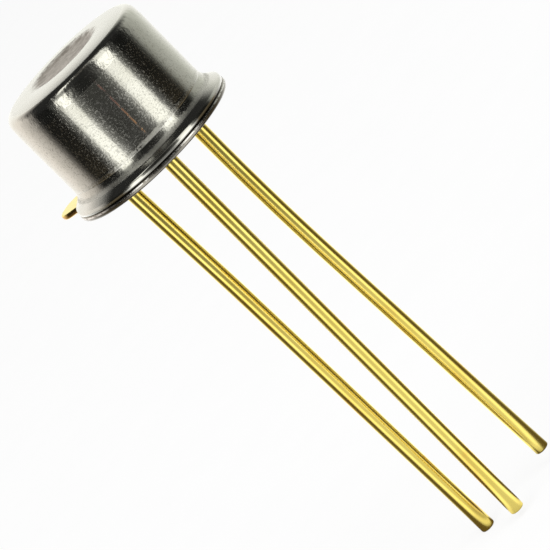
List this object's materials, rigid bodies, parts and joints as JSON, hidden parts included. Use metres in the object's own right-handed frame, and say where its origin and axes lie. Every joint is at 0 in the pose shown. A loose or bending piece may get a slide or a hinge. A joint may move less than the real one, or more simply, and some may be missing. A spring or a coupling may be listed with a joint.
{
  "type": "voltage reference chip",
  "caption": "Voltage reference in a round metal can with a flange, an index tab and long straight wire leads for soldering through a board.",
  "frame": {"origin": "centre of the seating plane, the underside of the header flange", "axes": "+Z along the can's axis towards its closed top; the leads run to -Z; lead 1 is at -X, lead 2 at -Y and lead 3 at +X; the index tab lies between -X and +Y"},
  "size_m": [0.0057, 0.0054, 0.0181],
  "materials": {
    "nickel_cap": "bright drawn nickel",
    "gold_plated_header": "gold plating, satin",
    "seal_glass": "dark opaque sealing glass, glossy",
    "gold_plated_lead": "gold plating, bright",
    "gold_preform": "gold and silicon alloy, dull",
    "silicon": "polished silicon with patterned metal",
    "gold_wire": "bright drawn gold"
  },
  "bodies": {
    "root": {"cap": "nickel_cap", "header": "gold_plated_header", "glass_seal": "seal_glass", "lead_1": "gold_plated_lead", "lead_2": "gold_plated_lead", "lead_3": "gold_plated_lead", "die_attach": "gold_preform", "die": "silicon", "bond_wire_1": "gold_wire", "bond_wire_2": "gold_wire", "bond_wire_3": "gold_wire"}
  },
  "joints": []
}
